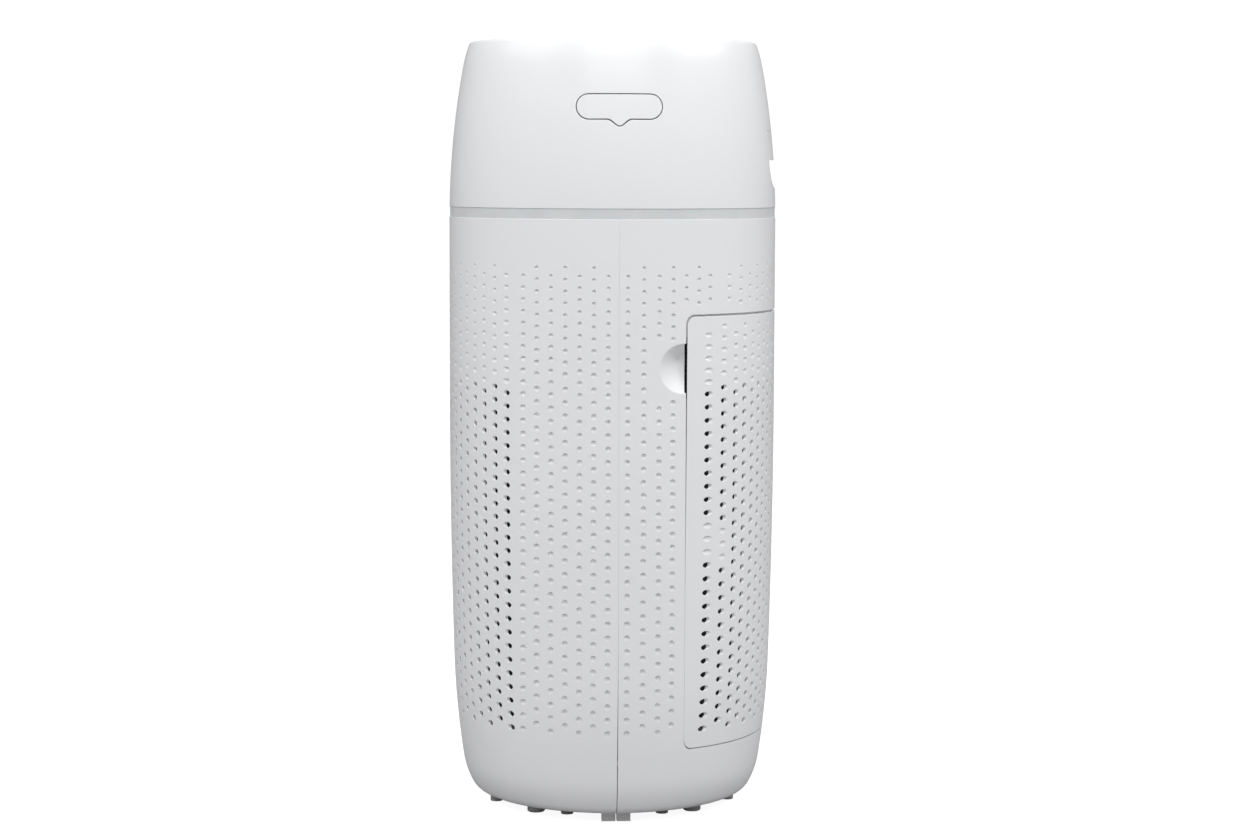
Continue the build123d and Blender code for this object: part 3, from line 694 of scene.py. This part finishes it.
def fibrous(name, color):
    """Glass-fibre filter paper."""
    shade = Shade(name)
    shade.set(Sheen_Weight=0.2, Roughness=0.95)
    strands = shade.noise(700.0, 6.0, 0.7, (1, 1, 0.25))
    shade.tint(strands, near(color, -0.12), near(color, 0.04))
    shade.bump(strands, 0.6, 0.00012)
    return shade.material


def frosted(name, color):
    """A moulded light guide: frosted, slightly cloudy."""
    shade = Shade(name)
    shade.set(IOR=1.49, Subsurface_Weight=0.25, Subsurface_Scale=0.004, Coat_Weight=0.15, Coat_Roughness=0.2)
    shade.tint(shade.noise(60.0, 4.0), near(color, -0.03), near(color, 0.03))
    shade.spread(shade.noise(260.0, 2.0), 0.34, 0.5, "Roughness")
    shade.bump(shade.noise(1500.0), 0.3, 0.00002)
    return shade.material


WHITE = (0.86, 0.865, 0.875)
LOOKS = {
    "white_shell": moulded("white_shell", WHITE, 0.33, 1300.0, 0.000012, 0.008, 0.25),
    "diffuser": frosted("diffuser", (0.70, 0.71, 0.72)),
    "grey_foot": moulded("grey_foot", (0.74, 0.74, 0.735), 0.55, 900.0, 0.00004, 0.03),
    "grey_rubber": moulded("grey_rubber", (0.50, 0.50, 0.505), 0.8, 600.0, 0.00006, 0.08),
    "white_frame": moulded("white_frame", (0.80, 0.80, 0.79), 0.5, 900.0, 0.00003, 0.02),
    "dark_frame": moulded("dark_frame", (0.12, 0.12, 0.13), 0.55, 800.0, 0.00004, 0.08),
    "fan_plastic": moulded("fan_plastic", (0.06, 0.06, 0.066), 0.5, 500.0, 0.00005, 0.2),
    "steel": metal("steel", (0.62, 0.62, 0.61), 0.28),
    "motor_can": moulded("motor_can", (0.08, 0.08, 0.088), 0.45, 1400.0, 0.00004, 0.1),
    "circuit_board": board("circuit_board", (0.05, 0.22, 0.12)),
    "wire_sleeve": woven("wire_sleeve", (0.10, 0.10, 0.11), 260.0, 0.0001, 0.6, 0.1),
    "prefilter_mesh": woven("prefilter_mesh", (0.10, 0.105, 0.11), 200.0, 0.0002, 0.8, 0.1),
    "filter_paper": fibrous("filter_paper", (0.86, 0.86, 0.82)),
    "carbon": granular("carbon", (0.05, 0.05, 0.05), 500.0, 0.0005, 0.8),
    "filter_cap": moulded("filter_cap", (0.74, 0.75, 0.76), 0.5, 900.0, 0.00003, 0.03),
    "foam_seal": granular("foam_seal", (0.10, 0.10, 0.10), 900.0, 0.0003, 0.95, 0.2),
    "strap": woven("strap", (0.16, 0.36, 0.52), 420.0, 0.0002),
    "felt": granular("felt", (0.84, 0.83, 0.79), 1500.0, 0.00025, 0.98, 0.5, 0.15),
    "panel_face": moulded("panel_face", (0.84, 0.845, 0.85), 0.12, 1500.0, 0.000006, 0.01, 0.6),
    "smoked_window": moulded("smoked_window", (0.012, 0.012, 0.014), 0.06, 1500.0, 0.000004, 0.2, 0.8),
    "button_cap": moulded("button_cap", (0.76, 0.765, 0.77), 0.42, 1200.0, 0.00003, 0.02),
}

# ---------------------------------------------------------------- vents
def rows(zone, kind):
    """(number from 1, height, mouth radius) of each vent of a column in a zone."""
    count, odd, even = ROW_ZONES[zone]
    first, pitch = odd if kind == "odd" else even
    found = []
    for number in range(count):
        height = first - pitch * number
        found.append((number + 1, height, float(np.interp(height, *VENT_RADII))))
    return found


def column(panel, angle, kind, pull, side, zones, through=(), keep=None):
    """Adds a column of vents at an angle from +X (mirrored onto -X where side is -1)."""
    rear = 1 if angle > 0 else -1
    for zone in zones:
        for number, height, radius in rows(zone, kind):
            if keep and not keep(zone, number, height):
                continue
            reach = float(panel.outline.at(panel.outline.find(height))[0])
            if pull == "X":
                centre = BODY_RADIUS * math.sin(math.radians(angle))
                panel.vents.append(("X", side, centre, height, radius, False))
                continue
            centre = side * reach * math.cos(math.radians(angle))
            opened = zone in through and not (callable(through.get(zone)) and through[zone](number))
            panel.vents.append(("Y", rear, centre, height, radius, opened))


def kind_of(index):
    return "even" if index % 2 else "odd"


ALL = ("upper", "middle", "lower")
body = body_outline()

# ---------------------------------------------------------------- front shell
def seam_gap(v):
    """Width of the line between the two shells, which opens towards the floor."""
    return np.interp(-body.at(v)[1], *SEAM_GAPS)


def shell_loop(start, end):
    """A shell's outline between two angles, with its sides at the seams."""
    v = np.append(np.arange(0.0, body.end, 5.0), body.end)
    inset = seam_gap(v) / 2
    first = np.stack([math.radians(start) * BODY_RADIUS + inset, v], 1)
    last = np.stack([math.radians(end) * BODY_RADIUS - inset, v], 1)
    return np.concatenate([first, last[::-1]])


def shell_edge(loop):
    """Rounding of a shell's outline: almost none where the two shells meet."""
    return np.where((loop[:, 1] > 1.0) & (loop[:, 1] < body.end - 1.0), 0.4 * seam_gap(loop[:, 1]), 0.22)


front = Panel(body)
front.add_loop(shell_loop(-180.0, 0.0), shell_edge)
for index, angle in enumerate(SIDE_FRONT_COLUMNS):
    for side in (1, -1):
        column(front, angle, kind_of(index), "X", side, ALL)
for index, angle in enumerate(FRONT_COLUMNS):
    column(front, angle, kind_of(index), "Y", 1, ALL, {"middle": None, "lower": None})

# ---------------------------------------------------------------- rear shell with its scoops
scoop_s = math.radians(SCOOP_ANGLE) * BODY_RADIUS
scoop_v = float(body.find(SCOOP_HEIGHT))
middle_s = math.pi / 2 * BODY_RADIUS


def scoop_depth(flat):
    """How far the finger scoops sink the rear shell's skin: deepest above their middle."""
    across = middle_s - np.abs(flat[:, 0] - middle_s) - scoop_s
    side, down = across / SCOOP_RADIUS, (flat[:, 1] - scoop_v) / SCOOP_RADIUS + DISH_LIFT
    spread, lean = 1.0 - DISH_LIFT ** 2, -DISH_LIFT * down
    reach = (lean + np.sqrt(lean ** 2 + spread * (side ** 2 + down ** 2))) / spread
    return SCOOP_DEPTH * np.clip(1.0 - reach ** 1.25, 0.0, None)


def scoop_points():
    """Rings of points that carry the scoops' dish."""
    found = []
    for radius, steps in ((18.2, 72), (17.6, 72), (17.2, 72), (16.0, 60), (14.2, 48), (12.0, 40),
                          (9.5, 32), (7.0, 24), (4.5, 16), (2.0, 8)):
        turn = np.radians(np.arange(steps) * 360.0 / steps)
        found.append(np.stack([scoop_s + radius * np.cos(turn), scoop_v + radius * np.sin(turn)], 1))
    right = np.concatenate(found)
    left = right.copy()
    left[:, 0] = 2 * middle_s - left[:, 0]
    return np.concatenate([right, left])


def door_gap(v):
    """Width of the line beside the door, which closes towards the bottom."""
    return np.interp(-body.at(v)[1], *DOOR_GAPS)


def door_loop(grow, gap=False):
    """The door window's rounded rectangle as flat points, grown on every side; its sides lie in planes."""
    start = math.radians(DOOR_START) * BODY_RADIUS - grow
    top = float(body.find(DOOR_HIGH + (-DOOR_TOP_GAP if gap else grow)))
    bottom = float(body.find(DOOR_LOW + (DOOR_GAP if gap else -grow)))
    loop = resample(rounded_rectangle((start, top), (2 * middle_s - start, bottom), DOOR_CORNER + grow), 2.5)
    angle = np.arcsin(DOOR_PLANE / body.at(loop[:, 1])[0])
    shift = angle * BODY_RADIUS - start - grow + (door_gap(loop[:, 1]) if gap else 0.0)
    loop[:, 0] += shift * (middle_s - loop[:, 0]) / (middle_s - start)
    return loop


def window_loop():
    """The door window, cut back beside each scoop and following the dish in under the door's edge."""
    loop = resample(door_loop(0.0), 0.8)
    depth = scoop_depth(loop)
    shift = np.where(depth > 0.01, depth * DISH_UNDERCUT - DISH_CUTBACK, 0.0)
    loop[:, 0] += np.where(loop[:, 0] < middle_s, shift, -shift)
    return loop


rear = Panel(body, relief=scoop_depth, relief_points=scoop_points)
rear.add_loop(shell_loop(0.0, 180.0), shell_edge)
rear.add_loop(window_loop(), lambda loop: 0.4 * door_gap(loop[:, 1]))
turn = np.radians(np.arange(0, 360, 10.0))
rear.add_loop(rear.seen_from_behind(
    np.stack([GLAND_RECESS * np.cos(turn), GLAND_Z + GLAND_RECESS * np.sin(turn)], 1)), 0.4)


def clear_of_scoop(last):
    """Keeps the rows of a column that lie above or below the scoop."""
    return lambda zone, number, height: number <= last if zone == "upper" else zone == "lower" or number > 1


def over_door(zone, number, height):
    return height > LOWEST_OVER_DOOR


beside = [("odd", None), ("even", None), ("odd", clear_of_scoop(6)), ("even", clear_of_scoop(7))]
for index, angle in enumerate(SIDE_REAR_COLUMNS):
    for side in (1, -1):
        if index < len(beside):
            column(rear, angle, beside[index][0], "X", side, ALL, keep=beside[index][1])
        else:
            column(rear, angle, kind_of(index), "X", side, ("upper",), keep=over_door)
for index, angle in enumerate(BACK_COLUMNS):
    for side in (1, -1) if angle < 89.9 else (1,):
        column(rear, angle, kind_of(index), "Y", side, ("upper",), keep=over_door)

# ---------------------------------------------------------------- jamb behind the door's edge
jambs = []
outer, inner = door_loop(JAMB_BAND), door_loop(-JAMB_REACH)
for name, above in (("top", True), ("low", False)):
    limit = scoop_v - 22.0 if above else scoop_v + 22.0
    piece = Panel(body, wall=JAMB_WALL, outer_depth=JAMB_DEPTH)
    parts = []
    for loop in (outer, inner):
        loop = resample(loop, 3.0)
        wanted = loop[:, 1] < limit if above else loop[:, 1] > limit
        first = int(np.argmax(wanted & ~np.roll(wanted, 1)))
        loop, wanted = np.roll(loop, -first, axis=0), np.roll(wanted, -first)
        run = loop[wanted]
        run[0, 1] = run[-1, 1] = limit
        parts.append(run)
    piece.add_loop(np.concatenate([parts[0], parts[1][::-1]]), 0.2)
    jambs.append((name, piece))

# ---------------------------------------------------------------- filter door
door = Panel(body)
door.undercut = 1.2
door.add_loop(door_loop(0.0, gap=True), lambda loop: 0.45 * door_gap(loop[:, 1]))
BLIND_ROWS = {0: lambda number: 11 <= number <= 13, 1: lambda number: 12 <= number <= 14}
for index, angle in enumerate(DOOR_COLUMNS):
    opened = {"middle": BLIND_ROWS.get(index), "lower": None}
    for side in (1, -1) if angle < 89.9 else (1,):
        column(door, angle, kind_of(index), "Y", side, ALL, opened,
               keep=lambda zone, number, height: height < HIGHEST_IN_DOOR)

# ---------------------------------------------------------------- head and scent tray
head_side = head_outline()


def tray_loop(grow):
    """The tray lid's outline as (y, z): a pill with a small finger bump under it."""
    radius = (TRAY_HIGH - TRAY_LOW) / 2 + grow
    level, run = (TRAY_HIGH + TRAY_LOW) / 2, TRAY_HALF - (TRAY_HIGH - TRAY_LOW) / 2
    points = []
    for centre, start in ((run, 90), (-run, 270)):
        for k in range(17):
            turn = math.radians(start - 180.0 * k / 16)
            points.append((centre + radius * math.cos(turn), level + radius * math.sin(turn)))
        if centre > 0:
            for k in range(17):
                share = 1.0 - k / 8
                drop = BUMP_DEPTH * (0.5 + 0.5 * math.cos(math.pi * share))
                points.append((share * (BUMP_HALF + grow), level - radius - drop))
    return np.array(points)


def handle_loop(grow):
    """The handle insert's outline as (x, z) seen from behind."""
    half, low, high = HANDLE_HALF + grow, HANDLE_LOW - grow, HANDLE_HIGH + grow
    points = []
    for side, level, corner, start in ((1, high, 3.0, 90), (1, low, 20.0, 0),
                                       (-1, low, 20.0, -90), (-1, high, 3.0, 180)):
        cx = side * (half - corner)
        cz = level - corner if level == high else level + corner
        for k in range(9):
            turn = math.radians(start - 90.0 * k / 8)
            points.append((cx + corner * math.cos(turn), cz + corner * math.sin(turn)))
    return np.array(points)


head = Panel(head_side)
head.wrapped = True
corners = [(-90.0, 0.0), (270.0, 0.0), (270.0, head_side.end), (-90.0, head_side.end)]
head.add_loop(np.array([head.flat(angle, v) for angle, v in corners]), 0.4)
head.add_loop(head.seen_from_x(tray_loop(TRAY_GAP)), 0.35)
head.add_loop(head.seen_from_behind(resample(handle_loop(0.0), 2.5)), 0.3)

lid = Panel(head_side, wall=3.2)
lid.add_loop(lid.seen_from_x(tray_loop(0.0)), 0.4)


def bar(low, high, bevel=0.5, turn=0.0):
    """A bevelled bar between two corners, turned about Z."""
    low, high = np.array(low, float), np.array(high, float)
    mesh = bpy.data.meshes.new("bar")
    points = [(x, y, z) for x in (low[0], high[0]) for y in (low[1], high[1]) for z in (low[2], high[2])]
    faces = [(0, 1, 3, 2), (4, 6, 7, 5), (0, 4, 5, 1), (2, 3, 7, 6), (0, 2, 6, 4), (1, 5, 7, 3)]
    mesh.from_pydata((np.array(points) * MM).tolist(), [], faces)
    mesh.transform(Matrix.Rotation(math.radians(turn), 4, "Z"))
    item = bpy.data.objects.new("bar", mesh)
    bpy.context.collection.objects.link(item)
    rounding = item.modifiers.new("rounding", "BEVEL")
    rounding.width = bevel * MM
    rounding.segments = 2
    return item


def merge(name, items, material):
    """One object from several, with their modifiers applied."""
    graph = bpy.context.evaluated_depsgraph_get()
    points, faces = [], []
    for item in items:
        mesh = item.evaluated_get(graph).to_mesh()
        start = len(points)
        points += [tuple(vertex.co) for vertex in mesh.vertices]
        faces += [tuple(start + k for k in polygon.vertices) for polygon in mesh.polygons]
    for item in items:
        bpy.data.objects.remove(item)
    joined = bpy.data.meshes.new(name)
    joined.from_pydata(points, [], faces)
    joined.materials.append(material)
    made = bpy.data.objects.new(name, joined)
    bpy.context.collection.objects.link(made)
    return made


# ---------------------------------------------------------------- pieces in place
def place(item, body_name, nodes=()):
    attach(item, body_name)
    if nodes:
        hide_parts(*nodes)
    return item


white = LOOKS["white_shell"]
place(front.make("front_shell_skin", white), "housing", ["front_shell"])
place(rear.make("rear_shell_skin", white), "housing", ["rear_shell"])
for name, piece in jambs:
    place(piece.make("door_jamb_" + name, white), "housing")
place(door.make("door_skin", white), "door", ["filter_door"])
place(head.make("head_skin", white), "housing", ["upper_housing"])
place(lid.make("tray_lid", white), "tray", ["oil_tray"])

mouth = Piece()
low, high = LEDGE_LOW, HEAD_TOP - 1.6
mouth.lathe([(LEDGE_RADIUS, low), (MOUTH_RADIUS + 3, low), (MOUTH_RADIUS + 3, high), (MOUTH_RADIUS, high),
             (MOUTH_RADIUS, LEDGE_HIGH), (LEDGE_RADIUS, LEDGE_HIGH)])
place(mouth.build("head_mouth", white), "housing")

seat = Piece()
seat.lathe([(GLAND_HOLE, GLAND_FACE - 5.5), (GLAND_SEAT, GLAND_FACE - 5.5), (GLAND_SEAT, GLAND_TOP),
            (GLAND_RECESS, GLAND_TOP), (GLAND_RECESS, GLAND_FACE), (GLAND_HOLE, GLAND_FACE)])
item = seat.build("gland_seat", white)
item.data.transform(Matrix.Translation((0.0, 0.0, GLAND_Z * MM))
                    @ Matrix.Rotation(math.radians(-90.0), 4, "X"))
place(item, "housing")

hooks = []
for x in (-20.0, 20.0):
    hooks.append(bar((x - 6, 101.5, 62.0), (x + 6, 112.6, 64.5)))
    hooks.append(bar((x - 6, 101.5, 50.2), (x + 6, 104.0, 64.5)))
for angle in (31.0, 149.0):
    hooks.append(bar((107.0, -2.5, 203.0), (118.6, 2.5, 221.0), turn=angle))
place(merge("door_hooks", hooks, white), "door")

cup = [bar((82.0, -24.0, 507.0), (107.5, 24.0, 508.6)), bar((82.0, -24.0, 507.0), (84.0, 24.0, 520.0)),
       bar((82.0, -24.0, 507.0), (107.5, -22.0, 520.0)), bar((82.0, 22.0, 507.0), (107.5, 24.0, 520.0)),
       bar((107.0, -24.0, 507.0), (109.0, 24.0, 519.8))]
place(merge("tray_cup", cup, white), "tray")

for part in frame["record"]["subparts"]:
    item = frame["nodes"][part["node"]]
    if not item.material_slots:
        item.data.materials.append(None)
    for socket in item.material_slots:
        socket.material = LOOKS[part["material_slot"]]

# ---------------------------------------------------------------- stage
scene = bpy.context.scene
floor_mesh = bpy.data.meshes.new("floor")
turn = [math.radians(5.0 * k) for k in range(72)]
floor_mesh.from_pydata([(FLOOR_RADIUS * math.cos(a), FLOOR_RADIUS * math.sin(a), 0.0) for a in turn], [],
                       [tuple(range(72))])
floor = bpy.data.objects.new("floor", floor_mesh)
scene.collection.objects.link(floor)
floor_shade = Shade("floor")
floor_shade.set(Base_Color=(0.36, 0.36, 0.365), Roughness=0.9, Specular_IOR_Level=0.1,
                Emission_Color=(1.0, 1.0, 1.0, 1.0), Emission_Strength=0.0)
seen = floor_shade.node("LightPath")
glow = floor_shade.node("Math", operation="MULTIPLY")
glow.inputs[1].default_value = FLOOR_GLOW
floor_shade.link(seen.outputs["Is Camera Ray"], glow.inputs[0])
floor_shade.link(glow.outputs["Value"], floor_shade.shader.inputs["Emission Strength"])
floor_mesh.materials.append(floor_shade.material)

# A white studio: brighter overhead and in front, and plain white where the camera looks past the object.
world = bpy.data.worlds.new("studio")
scene.world = world
world.use_nodes = True
tree = world.node_tree
tree.nodes.clear()
output = tree.nodes.new("ShaderNodeOutputWorld")
aim = tree.nodes.new("ShaderNodeTexCoord")
parts = tree.nodes.new("ShaderNodeSeparateXYZ")
tree.links.new(aim.outputs["Generated"], parts.inputs["Vector"])
rise = tree.nodes.new("ShaderNodeMath")
rise.operation = "MULTIPLY_ADD"
rise.inputs[1].default_value, rise.inputs[2].default_value = SKY_RISE, SKY_BASE
tree.links.new(parts.outputs["Z"], rise.inputs[0])
front_light = tree.nodes.new("ShaderNodeMath")
front_light.operation = "MULTIPLY_ADD"
front_light.inputs[1].default_value = SKY_FRONT
tree.links.new(parts.outputs["X"], front_light.inputs[0])
tree.links.new(rise.outputs["Value"], front_light.inputs[2])
soft = tree.nodes.new("ShaderNodeBackground")
soft.inputs["Color"].default_value = (1.0, 1.0, 1.0, 1.0)
tree.links.new(front_light.outputs["Value"], soft.inputs["Strength"])
plain = tree.nodes.new("ShaderNodeBackground")
plain.inputs["Color"].default_value = (1.0, 1.0, 1.0, 1.0)
plain.inputs["Strength"].default_value = PLAIN_WHITE
mix = tree.nodes.new("ShaderNodeMixShader")
path = tree.nodes.new("ShaderNodeLightPath")
tree.links.new(path.outputs["Is Camera Ray"], mix.inputs["Fac"])
tree.links.new(soft.outputs["Background"], mix.inputs[1])
tree.links.new(plain.outputs["Background"], mix.inputs[2])
tree.links.new(mix.outputs["Shader"], output.inputs["Surface"])


def softbox(name, place_at, power):
    """A square area light aimed at the object."""
    data = bpy.data.lights.new(name, "AREA")
    data.shape = "SQUARE"
    data.size = SOFTBOX_SIZE
    data.energy = power
    item = bpy.data.objects.new(name, data)
    item.location = place_at
    item.rotation_euler = (Vector(SOFTBOX_AIM) - Vector(place_at)).to_track_quat("-Z", "Y").to_euler()
    scene.collection.objects.link(item)


for name, place_at, power in SOFTBOXES:
    softbox(name, place_at, power)

# ---------------------------------------------------------------- camera
camera = bpy.data.objects.new("camera", bpy.data.cameras.new("camera"))
camera.data.lens = CAMERA_LENS
camera.data.sensor_width = 36.0
camera.data.clip_end = 50.0
camera.location = CAMERA_PLACE
heading, pitch, roll = map(math.radians, CAMERA_ANGLES)
sight = Vector((math.cos(heading) * math.cos(pitch), math.sin(heading) * math.cos(pitch), math.sin(pitch)))
turned = sight.to_track_quat("-Z", "Y").to_matrix() @ Matrix.Rotation(roll, 3, "Z")
camera.rotation_euler = turned.to_euler()
scene.collection.objects.link(camera)
scene.camera = camera
scene.view_settings.view_transform = "Standard"
scene.view_settings.look = "None"
bpy.context.view_layer.update()
